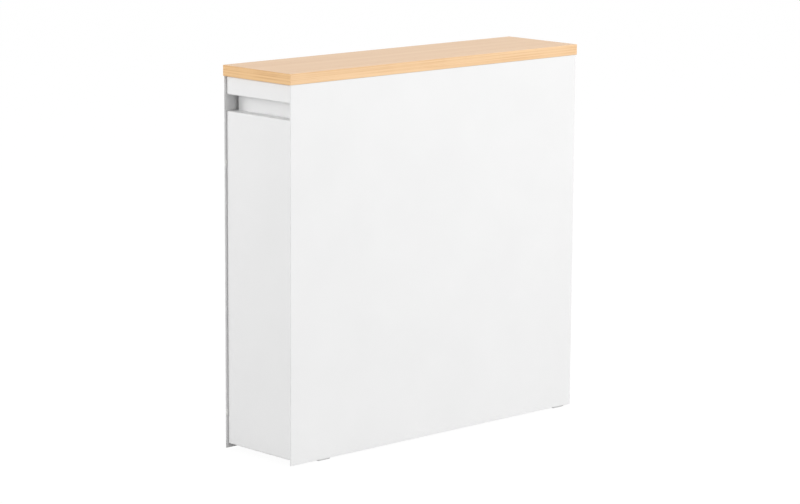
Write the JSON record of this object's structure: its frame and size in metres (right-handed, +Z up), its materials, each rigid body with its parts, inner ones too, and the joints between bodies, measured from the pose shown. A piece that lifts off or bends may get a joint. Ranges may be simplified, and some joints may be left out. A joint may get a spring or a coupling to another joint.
{
  "type": "bathroom pull-out cabinet",
  "caption": "Slim white sheet-steel bathroom cabinet with an oak board on top and a full-height pull-out with shelves behind a flush front with a finger slot.",
  "frame": {"origin": "on the floor under the feet, midway along the width and the depth", "axes": "+Z up, +Y from the front with the finger slot to the back, +X to the right seen from the front"},
  "size_m": [0.182, 0.722, 0.703],
  "materials": {
    "white_coated_steel": "satin powder coat",
    "oak": "matt oiled oak",
    "zinc_plated_steel": "bright zinc plate",
    "foot_plastic": "moulded, pale grey",
    "white_nylon": "moulded, off-white",
    "grey_mat": "ribbed soft mat",
    "dark_rubber": "matt",
    "bearing_steel": "polished",
    "polished_rod": "bright drawn rod"
  },
  "bodies": {
    "cabinet": {"right_side_panel": "white_coated_steel", "left_side_panel": "white_coated_steel", "right_panel_stiffener": "zinc_plated_steel", "left_panel_stiffener": "zinc_plated_steel", "right_panel_studs": "zinc_plated_steel", "left_panel_studs": "zinc_plated_steel", "base_pan": "white_coated_steel", "foot_front_left": "foot_plastic", "foot_front_right": "foot_plastic", "foot_rear_left": "foot_plastic", "foot_rear_right": "foot_plastic", "foot_bolts": "zinc_plated_steel", "foot_nuts": "zinc_plated_steel", "top_deck": "white_coated_steel", "wooden_top": "oak", "board_screws": "zinc_plated_steel", "stud_nuts": "zinc_plated_steel", "back_panel": "white_coated_steel", "back_panel_screws": "zinc_plated_steel", "clinch_nuts": "zinc_plated_steel", "front_guide_pads": "white_nylon", "right_slide_outer": "zinc_plated_steel", "left_slide_outer": "zinc_plated_steel", "guide_rail": "zinc_plated_steel", "magnet_catch": "white_nylon", "catch_rivets": "zinc_plated_steel", "stop_buffers": "dark_rubber"},
    "pull_out": {"front_panel": "white_coated_steel", "front_fascia": "white_coated_steel", "front_inner_panel": "white_coated_steel", "bottom_tray": "white_coated_steel", "slide_screws": "zinc_plated_steel", "tray_screws": "zinc_plated_steel", "middle_shelf": "white_coated_steel", "upper_shelf": "white_coated_steel", "shelf_pins": "zinc_plated_steel", "guard_rails": "polished_rod", "bottom_mat": "grey_mat", "middle_mat": "grey_mat", "upper_mat": "grey_mat", "rear_panel": "white_coated_steel", "top_beam": "white_coated_steel", "beam_screws": "zinc_plated_steel", "guide_pin": "zinc_plated_steel", "strike_plate": "zinc_plated_steel", "strike_rivets": "zinc_plated_steel", "right_slide_inner": "zinc_plated_steel", "left_slide_inner": "zinc_plated_steel"},
    "guide_roller": {"guide_roller": "white_nylon"},
    "slide_middles": {"right_slide_middle": "zinc_plated_steel", "left_slide_middle": "zinc_plated_steel"},
    "outer_cages": {"outer_ball_retainers": "zinc_plated_steel", "outer_balls": "bearing_steel"},
    "inner_cages": {"inner_ball_retainers": "zinc_plated_steel", "inner_balls": "bearing_steel"}
  },
  "joints": [
    {"name": "pull_out_slide", "type": "slide", "parent": "cabinet", "child": "pull_out", "axis": [0, -1, 0], "range_m": [0, 0.56]},
    {"name": "slide_middles_travel", "type": "slide", "parent": "cabinet", "child": "slide_middles", "axis": [0, -1, 0], "range_m": [0, 0.28]},
    {"name": "outer_cages_travel", "type": "slide", "parent": "cabinet", "child": "outer_cages", "axis": [0, -1, 0], "range_m": [0, 0.14]},
    {"name": "inner_cages_travel", "type": "slide", "parent": "slide_middles", "child": "inner_cages", "axis": [0, -1, 0], "range_m": [0, 0.14]},
    {"name": "guide_roller_spin", "type": "hinge", "parent": "pull_out", "child": "guide_roller", "pos_m": [0, 0.3013, 0.668], "axis": [0, 0, 1], "continuous": true}
  ],
  "couplings": [
    {"joint": "slide_middles_travel", "follows": "pull_out_slide", "ratio": 0.5},
    {"joint": "outer_cages_travel", "follows": "pull_out_slide", "ratio": 0.25},
    {"joint": "inner_cages_travel", "follows": "pull_out_slide", "ratio": 0.25}
  ]
}
